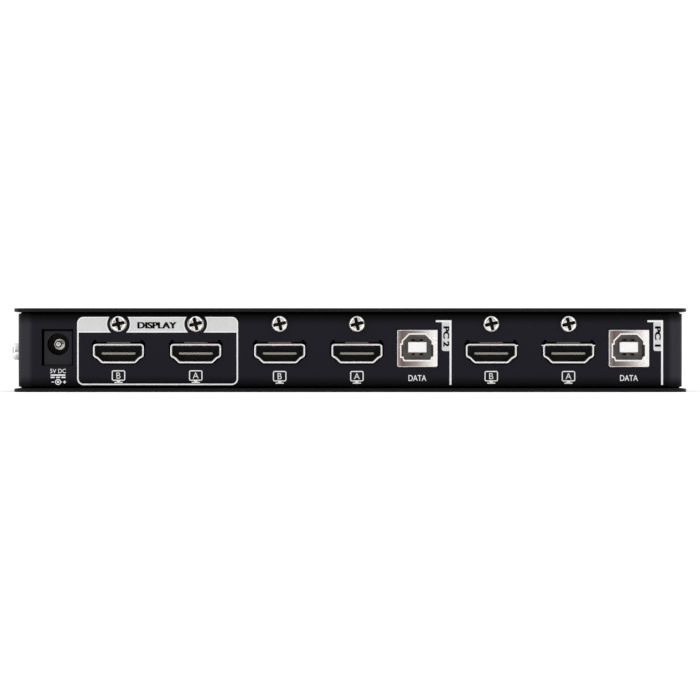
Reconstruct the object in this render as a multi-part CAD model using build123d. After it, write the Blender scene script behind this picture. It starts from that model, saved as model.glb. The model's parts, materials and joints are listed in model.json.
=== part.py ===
"""Two-computer, two-monitor KVM switch in a flat sheet-metal case.

Millimetres. X runs across the case, -Y is the front with the buttons, +Y the rear with the
sockets, and Z is up from the table. The origin is the middle of the underside.
"""

from build123d import *
import os

# ---------------------------------------------------------------- case
WIDTH = 200.6
DEPTH = 90.0
HEIGHT = 25.0
PLATE = 1.1  # top and bottom sheet, painted
OVERHANG = 1.3  # how far the plates stand out past the walls
WALL = 1.0
CORNER_R = 4.0  # upright corners of the walls
BEND_R = 1.2  # outside radius where a wall turns into a flange
FLANGE = 8.0
RELIEF = 0.5  # the walls are lower by this much round the upright corners
PLATE_EDGE_R = 0.3

SIDE_X = WIDTH / 2 - OVERHANG  # outer face of a side wall
REAR_Y = DEPTH / 2 - OVERHANG  # outer face of the rear wall
FRONT_Y = -REAR_Y  # outer face of the front bezel
WALL_Z0 = PLATE
WALL_Z1 = HEIGHT - PLATE

BEZEL = 2.5
BEZEL_GAP = 0.1  # bezel to plates
BEZEL_BACK_Y = FRONT_Y + BEZEL
BEZEL_RETURN = 5.0  # how far the bezel wraps round each side
BEZEL_SIDE = 2.0
SEAM = 0.2  # bezel to side wall
PANEL_X = 62.0  # middle of the button panel let into the bezel
PANEL_Z = 14.0
PANEL_WIDE = 46.0  # its window in the bezel
PANEL_TALL = 14.0
PANEL_CORNER_R = 1.0
PANEL_GAP = 0.1
PANEL_LEDGE = 0.8  # how far its rim reaches behind the bezel
PANEL_RIM = 1.5  # width of the rim
PANEL_RIM_LONG = 0.8
SIDE_WALL_FRONT_Y = FRONT_Y + BEZEL_RETURN + SEAM
SIDE_WALL_REAR_Y = REAR_Y - FLANGE - 0.5  # where a side wall meets the rear wall's turned end

# ---------------------------------------------------------------- circuit board
BOARD = 1.6
BOARD_Z = 8.0  # its top face
BOARD_X = 93.0
BOARD_FRONT_Y = -39.0
BOARD_REAR_Y = 41.6
LEG_GAP = 0.15  # round a leg in its slot
LEG_DOWN = 1.4  # legs reach this far under the board
LEG_Z0 = BOARD_Z - BOARD - LEG_DOWN

# ---------------------------------------------------------------- where the sockets are
PC_PITCH = 63.0  # one computer's group of sockets to the next
PORT_PITCH = 23.0  # monitor B socket to monitor A socket
DATA_STEP = 18.0  # monitor A socket to the data socket beside it
PC2_B_X = 21.0
MONITOR_B_X = PC2_B_X + 48.0
POWER_X = MONITOR_B_X + DATA_STEP
VIDEO_X = {
    "monitor_b": MONITOR_B_X,
    "monitor_a": MONITOR_B_X - PORT_PITCH,
    "pc2_video_b": PC2_B_X,
    "pc2_video_a": PC2_B_X - PORT_PITCH,
    "pc1_video_b": PC2_B_X - PC_PITCH,
    "pc1_video_a": PC2_B_X - PC_PITCH - PORT_PITCH,
}
DATA_X = {
    "pc2_data": VIDEO_X["pc2_video_a"] - DATA_STEP,
    "pc1_data": VIDEO_X["pc1_video_a"] - DATA_STEP,
}
HOST_X = {"keyboard": -74.0, "mouse": -55.0}
AUDIO_X = -38.0
BUTTON_X = {"1": 50.0, "2": 74.0}

# ---------------------------------------------------------------- video socket
VIDEO_MOUTH_Y = REAR_Y + 0.8
VIDEO_HALF = 7.0  # half the opening's width
VIDEO_TOP_Z = 13.8
VIDEO_BOTTOM_Z = 9.15
VIDEO_SKIN = 0.3
VIDEO_LIP = 0.6  # how far the flared mouth stands out round the opening
VIDEO_LIP_LONG = 0.7
VIDEO_LONG = 11.5
VIDEO_TONGUE_HALF = 5.05
VIDEO_TONGUE_Z = 11.5
VIDEO_TONGUE = 0.6
VIDEO_TONGUE_R = 0.25
VIDEO_TONGUE_BACK = 1.4  # behind the mouth
VIDEO_CAVITY = 6.5
VIDEO_CONTACTS = (10, 9)  # above and below the tongue
VIDEO_CONTACT_PITCH = 1.0
EAR_HALF = 3.45
EAR = 1.1
NOTCH_X = 7.0  # drilled top corners of the hole in the wall
NOTCH_R = 0.48
NOTCH_UP = 0.2
LOCK_SCREW_Z = 20.3

# ---------------------------------------------------------------- square data socket
DATA_MOUTH_Y = REAR_Y + 0.6
DATA_HALF = 6.0
DATA_Z0 = 7.5
DATA_Z1 = 18.5
DATA_LONG = 16.0
DATA_SKIN = 0.4
DATA_OPEN_HALF = 4.25
DATA_OPEN_Z0 = 9.6
DATA_OPEN_Z1 = 17.1
DATA_LIP_LONG = 8.5
DATA_WINDOW_HALF = 4.75
DATA_WINDOW_Z0 = 10.6
DATA_WINDOW_Z1 = 14.1
DATA_BEVEL = 0.42
DATA_TONGUE_HALF = 2.75
DATA_TONGUE_Z0 = 11.82
DATA_TONGUE_Z1 = 14.92

# ---------------------------------------------------------------- power socket
POWER_MOUTH_Y = REAR_Y - WALL - 0.15
POWER_HALF = 4.3
POWER_TALL = 10.35
POWER_LONG = 14.0
POWER_BORE_R = 3.3
POWER_BORE_LONG = 9.5
POWER_Z = 14.25
POWER_PIN_R = 1.0
POWER_COLLAR_R = 1.6
POWER_COLLAR_SKIN = 0.25
POWER_COLLAR_LONG = 1.5

# ---------------------------------------------------------------- flat host socket
HOST_MOUTH_Y = FRONT_Y - 0.6
HOST_HALF = 6.55
HOST_Z0 = 8.15
HOST_Z1 = 13.85
HOST_SKIN = 0.3
HOST_LONG = 14.0
HOST_TONGUE_HALF = 5.55
HOST_TONGUE_Z0 = 11.35
HOST_TONGUE_Z1 = 13.19

# ---------------------------------------------------------------- sound socket
AUDIO_MOUTH_Y = FRONT_Y - 0.5
AUDIO_Z = 10.9
AUDIO_BORE_R = 1.8
AUDIO_BORE_LONG = 14.2
AUDIO_NOSE_R = 2.9
AUDIO_HALF = 3.1
AUDIO_TALL = 5.6
AUDIO_BLOCK_Y0 = -41.0
AUDIO_BLOCK_Y1 = -28.5

# ---------------------------------------------------------------- buttons and their switches
BUTTON_WIDE = 14.0
BUTTON_TALL = 7.0
BUTTON_CORNER_R = 2.0
BUTTON_GAP = 0.2
BUTTON_Z = 12.5
BUTTON_PROUD = 0.6
BUTTON_FLANGE = 0.8
SWITCH_Z = BOARD_Z + 3.2
SWITCH_FRONT_Y = -37.0
PLUNGER_R = 1.7
PLUNGER_TIP_Y = SWITCH_FRONT_Y - 2.2
DOME_R = 2.2

# ---------------------------------------------------------------- lamps
LAMP_WIDE = 6.0
LAMP_TALL = 1.2
LAMP_GAP = 0.1
LAMP_Z = 19.0
LAMP_Y = -31.6

# ---------------------------------------------------------------- screws
SHANK_R = 1.4
SCREW_HOLE_R = 1.45
PAN_R = 2.5
PAN_TALL = 1.9
CROSS_LONG = 4.0
CROSS_WIDE = 1.0
CROSS_DEEP = 1.3
CROSS_TAPER = 18.0  # degrees, each wall of the driver recess
LOCK_TURN = 14.0  # degrees that the cross is turned
WASHER_R = 2.6
WASHER = 0.6
COUNTERSINK_R = 2.6
GROUND_Y = REAR_Y - 15.0
GROUND_Z = 12.0
REAR_SCREWS = [(x, REAR_Y - 4.5) for x in (-70.0, 70.0)]
SIDE_SCREWS = [(x, y) for x in (4.4 - SIDE_X, SIDE_X - 4.4) for y in (-15.0, 15.0)]
BEZEL_SCREWS = [(x, -37.5) for x in (-86.0, 86.0)]
STANDOFFS = [(-86.0, -24.0), (86.0, -24.0), (-86.0, 20.0), (86.0, 20.0), (8.0, 0.0)]


# ================================================================ helpers
def block(x0, x1, y0, y1, z0, z1):
    """A box given by its limits."""
    return Pos((x0 + x1) / 2, (y0 + y1) / 2, (z0 + z1) / 2) * Box(x1 - x0, y1 - y0, z1 - z0)


def rod_x(y, z, radius, x0, x1):
    return Pos((x0 + x1) / 2, y, z) * Rot(0, 90, 0) * Cylinder(radius, x1 - x0)


def rod_y(x, z, radius, y0, y1):
    return Pos(x, (y0 + y1) / 2, z) * Rot(90, 0, 0) * Cylinder(radius, y1 - y0)


def rod_z(x, y, radius, z0, z1):
    return Pos(x, y, (z0 + z1) / 2) * Cylinder(radius, z1 - z0)


def slab_y(sketch, y0, y1):
    """A sketch drawn across X and up Z, extruded from y0 to y1."""
    plane = Plane(origin=(0, y0, 0), x_dir=(1, 0, 0), z_dir=(0, -1, 0))
    return extrude(plane * sketch, amount=y1 - y0, dir=(0, 1, 0))


def slab_x(sketch, x0, x1):
    """A sketch drawn along Y and up Z, extruded from x0 to x1."""
    plane = Plane(origin=(x0, 0, 0), x_dir=(0, 1, 0), z_dir=(1, 0, 0))
    return extrude(plane * sketch, amount=x1 - x0, dir=(1, 0, 0))


def polygon(points):
    return make_face(Polyline(*points, close=True))


def mirrored(points):
    """A closed outline from its right-hand half, given from the top down."""
    return polygon(points + [(-x, z) for x, z in reversed(points)])


def edges_at(shape, axis, place):
    """The edges that lie wholly at one place along an axis."""
    return [
        e
        for e in shape.edges()
        if all(abs(getattr(v, axis) - place) < 1e-4 for v in e.vertices())
        and abs(getattr(e.center(), axis) - place) < 1e-4
    ]


def moved(shapes, x):
    return [Pos(x, 0, 0) * s for s in shapes]


# ================================================================ video socket
def video_opening():
    """The trapezoid that a video plug goes into."""
    face = mirrored(
        [
            (VIDEO_HALF, VIDEO_TOP_Z),
            (VIDEO_HALF, VIDEO_BOTTOM_Z + 1.8),
            (VIDEO_HALF - 1.05, VIDEO_BOTTOM_Z + 1.2),
            (VIDEO_HALF - 2.25, VIDEO_BOTTOM_Z),
        ]
    )
    return fillet(face.vertices(), 0.4)


def video_outline(grow):
    """The opening's outline, moved out all round."""
    return offset(video_opening(), grow, kind=Kind.INTERSECTION)


def video_shell():
    mouth = VIDEO_MOUTH_Y
    opening = video_opening()
    lip = slab_y(video_outline(VIDEO_LIP), mouth - VIDEO_LIP_LONG, mouth)
    lip = fillet(edges_at(lip, "Y", mouth), 0.25)
    lip = chamfer(edges_at(lip, "Y", mouth - VIDEO_LIP_LONG), 0.2)
    shell = lip + slab_y(video_outline(VIDEO_SKIN), mouth - VIDEO_LONG, mouth - 0.3)
    shell -= slab_y(opening, mouth - VIDEO_LONG - 1, mouth + 1)
    inner_edges = [e for e in edges_at(shell, "Y", mouth) if abs(e.center().X) < VIDEO_HALF + 0.05]
    shell = chamfer(inner_edges, 0.15)
    # spring fingers, cut free on three sides, in the roof and the floor
    for side in (-1, 1):
        for z in (VIDEO_TOP_Z, VIDEO_BOTTOM_Z - VIDEO_SKIN):
            x = side * 2.6
            y0, y1 = mouth - 6.4, mouth - 1.6
            for edge in (x - 0.9, x + 0.9):
                shell -= block(edge - 0.1, edge + 0.1, y0, y1, z - 0.1, z + VIDEO_SKIN + 0.1)
            shell -= block(x - 1.0, x + 1.0, y0 - 0.2, y0, z - 0.1, z + VIDEO_SKIN + 0.1)
    # ear behind the rear wall, which takes the lock screw
    ear_y1 = REAR_Y - WALL - 0.2
    ear = RectangleRounded(2 * EAR_HALF, LOCK_SCREW_Z + 2.0 - VIDEO_TOP_Z - 0.1, 1.2)
    ear = Pos(0, (LOCK_SCREW_Z + 2.0 + VIDEO_TOP_Z + 0.1) / 2) * ear
    shell += slab_y(ear, ear_y1 - EAR, ear_y1)
    shell += block(-EAR_HALF, EAR_HALF, ear_y1 - EAR, ear_y1, VIDEO_TOP_Z + 0.1, VIDEO_TOP_Z + 1.5)
    shell -= rod_y(0, LOCK_SCREW_Z, SCREW_HOLE_R, ear_y1 - 2 * EAR, ear_y1 + 1)
    for leg in video_legs():
        shell += leg
    return shell


def video_legs():
    """Four legs that drop through the board."""
    outer = VIDEO_HALF + VIDEO_SKIN
    legs = []
    for y in (VIDEO_MOUTH_Y - 5.4, VIDEO_MOUTH_Y - 10.2):
        for x0 in (-outer, VIDEO_HALF):
            legs.append(block(x0, x0 + VIDEO_SKIN, y - 0.6, y + 0.6, LEG_Z0, VIDEO_BOTTOM_Z + 2.2))
    return legs


def video_contacts():
    """Flat contacts along both faces of the tongue, down behind the socket to the board."""
    tip_y = VIDEO_MOUTH_Y - VIDEO_TONGUE_BACK - 0.1
    back_y = VIDEO_MOUTH_Y - VIDEO_LONG - 1.3
    wide, thick, sunk = 0.36, 0.15, 0.1
    faces = (
        VIDEO_TONGUE_Z + VIDEO_TONGUE / 2 - sunk,
        VIDEO_TONGUE_Z - VIDEO_TONGUE / 2 + sunk - thick,
    )
    contacts = []
    for count, z in zip(VIDEO_CONTACTS, faces):
        for i in range(count):
            x = (i - (count - 1) / 2) * VIDEO_CONTACT_PITCH
            strip = block(x - wide / 2, x + wide / 2, back_y - thick, tip_y, z, z + thick)
            drop = block(x - wide / 2, x + wide / 2, back_y - thick, back_y, BOARD_Z, z + thick)
            foot = block(x - wide / 2, x + wide / 2, back_y - 1.2, back_y, BOARD_Z, BOARD_Z + thick)
            contacts.append(strip + drop + foot)
    return contacts


def video_body():
    """Moulded block and tongue, with the contacts pressed into it."""
    mouth = VIDEO_MOUTH_Y
    section = RectangleRounded(2 * VIDEO_TONGUE_HALF, VIDEO_TONGUE, VIDEO_TONGUE_R)
    section = Pos(0, VIDEO_TONGUE_Z) * section
    tongue = slab_y(section, mouth - VIDEO_CAVITY - 0.5, mouth - VIDEO_TONGUE_BACK)
    tongue = chamfer(edges_at(tongue, "Y", mouth - VIDEO_TONGUE_BACK), 0.08)
    body = slab_y(video_opening(), mouth - VIDEO_LONG, mouth - VIDEO_CAVITY) + tongue
    back_y = mouth - VIDEO_LONG
    body += block(-6.3, 6.3, back_y - 1.3, back_y, BOARD_Z, VIDEO_TOP_Z - 0.3)
    body += block(-4.6, 4.6, back_y - 0.5, mouth - 5.0, BOARD_Z, VIDEO_BOTTOM_Z - VIDEO_SKIN)
    return body


# ================================================================ square data socket
def data_opening():
    """The mouth that a square data plug goes into, with its two cut top corners."""
    return mirrored(
        [
            (DATA_OPEN_HALF - 1.9, DATA_OPEN_Z1),
            (DATA_OPEN_HALF, DATA_OPEN_Z1 - 1.9),
            (DATA_OPEN_HALF, DATA_OPEN_Z0 + 1.3),
            (DATA_OPEN_HALF - 0.4, DATA_OPEN_Z0),
        ]
    )


def data_mouth():
    """The hole in the face: the opening, let out each side for the plug's side springs."""
    tall = DATA_WINDOW_Z1 - DATA_WINDOW_Z0
    middle = (DATA_WINDOW_Z0 + DATA_WINDOW_Z1) / 2
    return data_opening() + Pos(0, middle) * Rectangle(2 * DATA_WINDOW_HALF, tall)


def data_shell():
    mouth = DATA_MOUTH_Y
    back = mouth - DATA_LONG
    face_middle = (DATA_Z0 + DATA_Z1) / 2
    front = Pos(0, face_middle) * RectangleRounded(2 * DATA_HALF, DATA_Z1 - DATA_Z0, 0.5)
    face = slab_y(front, mouth - DATA_SKIN - 0.3, mouth)
    face = fillet(edges_at(face, "Y", mouth), 0.3)
    face -= slab_y(data_mouth(), mouth - 2, mouth + 1)
    rim = [e for e in edges_at(face, "Y", mouth) if abs(e.center().X) < DATA_WINDOW_HALF + 0.1]
    rim = [e for e in rim if DATA_OPEN_Z0 - 0.1 < e.center().Z < DATA_OPEN_Z1 + 0.1]
    shell = chamfer(rim, DATA_BEVEL)
    shell += block(-DATA_HALF, DATA_HALF, back, mouth - 0.5, BOARD_Z, DATA_Z1)
    inside = DATA_HALF - DATA_SKIN
    shell -= block(-inside, inside, back - 1, mouth - 0.7, BOARD_Z - 1, DATA_Z1 - DATA_SKIN)
    tube = slab_y(data_tube(), mouth - DATA_LIP_LONG, mouth - 0.7)
    for x in (-DATA_WINDOW_HALF, DATA_WINDOW_HALF):
        tube -= block(x - 0.9, x + 0.9, mouth - 7.0, mouth, DATA_WINDOW_Z0, DATA_WINDOW_Z1)
    shell += tube
    shell -= slab_y(data_mouth(), mouth - 1.0, mouth - 0.5)
    for leg in data_legs():
        shell += leg
    return shell


def data_tube():
    """Section of the skin that runs in from the mouth."""
    outer = offset(data_opening(), DATA_SKIN, kind=Kind.INTERSECTION)
    return outer - data_opening()


def data_legs():
    """Two broad legs near the middle of the socket's length."""
    y = DATA_MOUTH_Y - 11.0
    inside = DATA_HALF - DATA_SKIN
    return [
        block(x0, x0 + DATA_SKIN, y - 1.0, y + 1.0, LEG_Z0, BOARD_Z + 1.0)
        for x0 in (-DATA_HALF, inside)
    ]


def data_contacts():
    """Two sprung contacts over the tongue and two under it."""
    mouth = DATA_MOUTH_Y
    wide, thick, bow = 1.0, 0.25, 0.55
    bend_y = [mouth - 15.8, mouth - 5.5, mouth - 4.2, mouth - 3.4, mouth - 2.2]
    contacts = []
    for up, face in ((1, DATA_TONGUE_Z1), (-1, DATA_TONGUE_Z0)):
        rises = [0.0, 0.0, bow, bow, 0.0]
        near = [(y, face + up * rise) for y, rise in zip(bend_y, rises)]
        far = [(y, z + up * thick) for y, z in reversed(near)]
        for x in (-1.25, 1.25):
            drop_y = bend_y[0]
            strip = slab_x(polygon(near + far), x - wide / 2, x + wide / 2)
            top_z = max(face, face + up * thick)
            drop_end = LEG_Z0
            drop = block(x - wide / 2, x + wide / 2, drop_y - thick, drop_y, drop_end, top_z)
            contacts.append(strip + drop)
    return contacts


def data_body(contacts):
    """White tongue on the block that closes the back of the socket."""
    mouth = DATA_MOUTH_Y
    inside = DATA_HALF - DATA_SKIN
    tongue = block(
        -DATA_TONGUE_HALF,
        DATA_TONGUE_HALF,
        mouth - 10.0,
        mouth - 1.0,
        DATA_TONGUE_Z0,
        DATA_TONGUE_Z1,
    )
    tongue = fillet(edges_at(tongue, "Y", mouth - 1.0), 0.25)
    body = block(
        -inside, inside, mouth - 15.8, mouth - DATA_LIP_LONG, BOARD_Z, DATA_Z1 - DATA_SKIN
    )
    body += tongue
    for contact in contacts:
        body -= contact
    return body


# ================================================================ power socket
def power_pin():
    """Centre pin, the thin collar round its root, and its tab down to the board."""
    bore_end = POWER_MOUTH_Y - POWER_BORE_LONG
    tab_y = POWER_MOUTH_Y - POWER_LONG
    pin = rod_y(0, POWER_Z, POWER_PIN_R, tab_y - 0.3, POWER_MOUTH_Y - 0.6)
    pin = fillet(edges_at(pin, "Y", POWER_MOUTH_Y - 0.6), 0.75)
    collar = rod_y(0, POWER_Z, POWER_COLLAR_R, bore_end, bore_end + POWER_COLLAR_LONG)
    hollow_r = POWER_COLLAR_R - POWER_COLLAR_SKIN
    collar -= rod_y(0, POWER_Z, hollow_r, bore_end + 0.3, bore_end + POWER_COLLAR_LONG + 1)
    pin += collar
    pin += block(-1.2, 1.2, tab_y - 0.3, tab_y, LEG_Z0, POWER_Z + 1.2)
    return pin


def power_spring():
    """Leaf under the bore that bears on the plug's barrel, with its tab down to the board."""
    y0 = POWER_MOUTH_Y - 8.4
    leaf_z = POWER_Z - POWER_BORE_R - 0.35
    leaf = block(-1.0, 1.0, y0, y0 + 6.0, leaf_z, leaf_z + 0.25)
    return leaf + block(-1.0, 1.0, y0, y0 + 0.3, LEG_Z0, leaf_z + 0.1)


def power_housing(pin, spring):
    mouth = POWER_MOUTH_Y
    back = mouth - POWER_LONG
    top = BOARD_Z + POWER_TALL
    face = block(-POWER_HALF, POWER_HALF, mouth - 3.5, mouth, BOARD_Z, top)
    face = chamfer(edges_at(face, "Y", mouth), 0.2)
    housing = face + block(-POWER_HALF, POWER_HALF, back, mouth - 3.0, BOARD_Z, POWER_Z)
    housing += rod_y(0, POWER_Z, POWER_HALF - 0.05, back, mouth - 3.0)
    housing -= rod_y(0, POWER_Z, POWER_BORE_R, mouth - POWER_BORE_LONG, mouth + 1)
    # slot over the spring leaf
    y0 = mouth - 8.4
    housing -= block(-1.1, 1.1, y0, y0 + 6.2, POWER_Z - POWER_BORE_R - 0.35, POWER_Z - 2.5)
    housing -= pin
    housing -= spring
    return housing


# ================================================================ flat host socket
def host_shell():
    mouth = HOST_MOUTH_Y
    back = mouth + HOST_LONG
    middle = (HOST_Z0 + HOST_Z1) / 2
    outer = Pos(0, middle) * RectangleRounded(2 * HOST_HALF, HOST_Z1 - HOST_Z0, 0.5)
    inner = Pos(0, middle) * RectangleRounded(
        2 * (HOST_HALF - HOST_SKIN), HOST_Z1 - HOST_Z0 - 2 * HOST_SKIN, 0.3
    )
    shell = slab_y(outer, mouth, back) - slab_y(inner, mouth - 1, back - HOST_SKIN)
    # spring fingers in the roof and the floor, cut free on three sides
    for x in (-2.9, 2.9):
        for z in (HOST_Z0, HOST_Z1 - HOST_SKIN):
            y0, y1 = mouth + 1.6, mouth + 7.0
            for edge in (x - 1.2, x + 1.2):
                shell -= block(edge - 0.12, edge + 0.12, y0, y1, z - 0.1, z + HOST_SKIN + 0.1)
            shell -= block(x - 1.32, x + 1.32, y1, y1 + 0.24, z - 0.1, z + HOST_SKIN + 0.1)
    for leg in host_legs():
        shell += leg
    return shell


def host_legs():
    y = HOST_MOUTH_Y + 8.6
    return [
        block(x0, x0 + HOST_SKIN, y - 1.2, y + 1.2, LEG_Z0, HOST_Z0 + 1.5)
        for x0 in (-HOST_HALF, HOST_HALF - HOST_SKIN)
    ]


def host_contacts():
    mouth = HOST_MOUTH_Y
    wide, thick = 1.0, 0.2
    back = mouth + HOST_LONG - HOST_SKIN
    contacts = []
    for x in (-3.5, -1.0, 1.0, 3.5):
        z = HOST_TONGUE_Z0
        strip = block(x - wide / 2, x + wide / 2, mouth + 2.4, back, z - 0.05, z + thick - 0.05)
        drop = block(
            x - wide / 2, x + wide / 2, back - thick, back, HOST_Z0 + HOST_SKIN, z + 0.1
        )
        contacts.append(strip + drop)
    return contacts


def host_body(contacts):
    mouth = HOST_MOUTH_Y
    clear = 0.02
    inside = HOST_HALF - HOST_SKIN - clear
    tongue = block(
        -HOST_TONGUE_HALF,
        HOST_TONGUE_HALF,
        mouth + 1.6,
        mouth + 10.5,
        HOST_TONGUE_Z0,
        HOST_TONGUE_Z1,
    )
    tongue = chamfer(edges_at(tongue, "Y", mouth + 1.6), 0.3)
    tall = HOST_Z1 - HOST_Z0 - 2 * (HOST_SKIN + clear)
    plug = Pos(0, (HOST_Z0 + HOST_Z1) / 2) * RectangleRounded(2 * inside, tall, 0.4)
    body = tongue + slab_y(plug, mouth + 10.0, mouth + HOST_LONG - HOST_SKIN - clear)
    for contact in contacts:
        body -= contact
    return body


# ================================================================ sound socket
def audio_contacts():
    """Three contacts beside the bore, each with a foot on the board."""
    contacts = []
    for side, y0 in ((1, -39.6), (-1, -37.2), (1, -34.0)):
        near, far = 1.95 * side, 2.15 * side
        x0, x1 = min(near, far), max(near, far)
        plate = block(x0, x1, y0, y0 + 2.4, BOARD_Z, AUDIO_Z + 1.2)
        foot_x = sorted((near, 3.8 * side))
        foot_z = BOARD_Z + 0.2
        contacts.append(plate + block(*foot_x, y0 + 0.7, y0 + 1.7, BOARD_Z, foot_z))
    return contacts


def audio_housing(contacts):
    block_z1 = BOARD_Z + AUDIO_TALL
    housing = block(
        -AUDIO_HALF, AUDIO_HALF, AUDIO_BLOCK_Y0, AUDIO_BLOCK_Y1, BOARD_Z, block_z1
    )
    housing = chamfer(edges_at(housing, "Z", block_z1), 0.3)
    nose = rod_y(0, AUDIO_Z, AUDIO_NOSE_R, AUDIO_MOUTH_Y, AUDIO_BLOCK_Y0 + 1)
    housing += fillet(edges_at(nose, "Y", AUDIO_MOUTH_Y), 0.3)
    bore_end = AUDIO_MOUTH_Y + AUDIO_BORE_LONG
    housing -= rod_y(0, AUDIO_Z, AUDIO_BORE_R, AUDIO_MOUTH_Y - 1, bore_end)
    for contact in contacts:
        housing -= contact
    return housing


# ================================================================ buttons and their switches
def button(x):
    """Cap, the flange that holds it behind the bezel, and the boss that presses the switch."""
    front = FRONT_Y - BUTTON_PROUD
    flange_y = BEZEL_BACK_Y + 0.05
    outline = RectangleRounded(BUTTON_WIDE, BUTTON_TALL, BUTTON_CORNER_R)
    cap = slab_y(Pos(x, BUTTON_Z) * outline, front, flange_y + 0.2)
    cap = fillet(edges_at(cap, "Y", front), 0.5)
    flange = Pos(x, BUTTON_Z) * RectangleRounded(BUTTON_WIDE + 2, BUTTON_TALL + 2, 2.5)
    cap += slab_y(flange, flange_y, flange_y + BUTTON_FLANGE)
    cap += rod_y(x, SWITCH_Z, 1.5, flange_y, PLUNGER_TIP_Y)
    return cap


def plunger(x):
    stem = rod_y(x, SWITCH_Z, PLUNGER_R, PLUNGER_TIP_Y, SWITCH_FRONT_Y + 1)
    stem = chamfer(edges_at(stem, "Y", PLUNGER_TIP_Y), 0.2)
    return stem + rod_y(x, SWITCH_Z, 2.1, SWITCH_FRONT_Y + 0.75, SWITCH_FRONT_Y + 1.25)


def switch_body(x):
    front = SWITCH_FRONT_Y
    body = block(x - 3, x + 3, front, front + 3.5, BOARD_Z, SWITCH_Z + 3)
    body = chamfer(body.edges().filter_by(Axis.Y), 0.3)
    body -= rod_y(x, SWITCH_Z, PLUNGER_R + 0.08, front - 1, front + 1)
    return body - rod_y(x, SWITCH_Z, DOME_R + 0.1, front + 0.7, front + 1.9)


def switch_dome(x):
    """Thin snap dome, bulging towards the plunger."""
    rise, thick = 0.5, 0.1
    radius = (DOME_R**2 + rise**2) / (2 * rise)
    seat = SWITCH_FRONT_Y + 1.9
    centre_y = seat - rise + radius
    place = Pos(x, centre_y, SWITCH_Z)
    dome = place * Sphere(radius) - place * Sphere(radius - thick)
    return dome & rod_y(x, SWITCH_Z, DOME_R, seat - rise - 1, seat)


# ================================================================ lamps
def light_pipe():
    """One clear moulding: a bar, a tip through the bezel and a leg over each lamp."""
    back = LAMP_Y + LAMP_TALL / 2
    z0, z1 = LAMP_Z - LAMP_TALL / 2, LAMP_Z + LAMP_TALL / 2
    xs = sorted(BUTTON_X.values())
    pipe = block(xs[0], xs[1], back - LAMP_TALL, back, z0, z1)
    for x in xs:
        half = LAMP_WIDE / 2
        arm = block(x - half, x + half, FRONT_Y + 0.05, back, z0, z1)
        leg = block(x - 1.5, x + 1.5, back - LAMP_TALL, back, BOARD_Z + 1.6, z1)
        pipe += arm + leg
    return pipe


def status_lamps():
    return [
        block(x - 1.6, x + 1.6, LAMP_Y - 0.8, LAMP_Y + 0.8, BOARD_Z, BOARD_Z + 1.4)
        for x in BUTTON_X.values()
    ]


# ================================================================ screws
def cross(top, turn):
    """The cross-shaped driver recess under a flat at height top, narrowing as it goes down."""
    sketch = Rectangle(CROSS_LONG, CROSS_WIDE) + Rectangle(CROSS_WIDE, CROSS_LONG)
    recess = extrude(sketch, amount=-CROSS_DEEP, taper=CROSS_TAPER)
    return Pos(0, 0, top) * Rot(0, 0, turn) * recess


def pan_screw(length, turn=0.0):
    """Pan-head screw pointing down, with the seat of its head at the origin."""
    head = rod_z(0, 0, PAN_R, 0, PAN_TALL)
    head = fillet(edges_at(head, "Z", PAN_TALL), 1.0)
    head -= cross(PAN_TALL, turn)
    shank = rod_z(0, 0, SHANK_R, -length, 0)
    return head + chamfer(edges_at(shank, "Z", -length), 0.3)


def flat_screw(length):
    """Countersunk screw pointing up, with the face of its head at the origin."""
    head_tall = PLATE - 0.1
    head = Pos(0, 0, head_tall / 2) * Cone(COUNTERSINK_R - 0.05, SHANK_R, head_tall)
    shank = rod_z(0, 0, SHANK_R, head_tall - 0.01, length)
    screw = head + chamfer(edges_at(shank, "Z", length), 0.3)
    long, wide = CROSS_LONG - 1.0, CROSS_WIDE - 0.25
    sketch = Rectangle(long, wide) + Rectangle(wide, long)
    return screw - extrude(sketch, amount=0.9, taper=CROSS_TAPER)


def lock_screws():
    """One screw over each video socket, through the rear wall into the ear behind it."""
    screw = Rot(-90, 0, 0) * pan_screw(6.0, LOCK_TURN)
    return [Pos(x, REAR_Y, LOCK_SCREW_Z) * screw for x in VIDEO_X.values()]


def case_screws():
    places = REAR_SCREWS + SIDE_SCREWS + BEZEL_SCREWS
    return [Pos(x, y, 0.05) * flat_screw(4.9) for x, y in places]


def board_screws():
    return [Pos(x, y, BOARD_Z) * pan_screw(5.0, 20.0 * i) for i, (x, y) in enumerate(STANDOFFS)]


def ground_screw():
    """Earthing screw in the side wall, the washer under its head and the nut behind the wall."""
    seat_x = SIDE_X + WASHER
    screw = Pos(seat_x, GROUND_Y, GROUND_Z) * Rot(0, 90, 0) * pan_screw(5.6, 30.0)
    washer = rod_x(GROUND_Y, GROUND_Z, WASHER_R, SIDE_X, seat_x)
    washer = chamfer(edges_at(washer, "X", seat_x), 0.1)
    washer -= rod_x(GROUND_Y, GROUND_Z, SHANK_R + 0.02, SIDE_X - 1, seat_x + 1)
    nut = Rot(0, 90, 0) * extrude(RegularPolygon(3.1, 6), amount=2.2)
    nut = Pos(SIDE_X - WALL - 2.2, GROUND_Y, GROUND_Z) * nut
    nut -= rod_x(GROUND_Y, GROUND_Z, SHANK_R + 0.02, SIDE_X - 5, SIDE_X)
    return [screw, washer, nut]


# ================================================================ case
def plate(z0):
    """A painted plate with rounded plan corners and eased edges."""
    sheet = RectangleRounded(WIDTH, DEPTH, CORNER_R + OVERHANG)
    body = Pos(0, 0, z0) * extrude(sheet, amount=PLATE)
    return fillet(edges_at(body, "Z", z0) + edges_at(body, "Z", z0 + PLATE), PLATE_EDGE_R)


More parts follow.
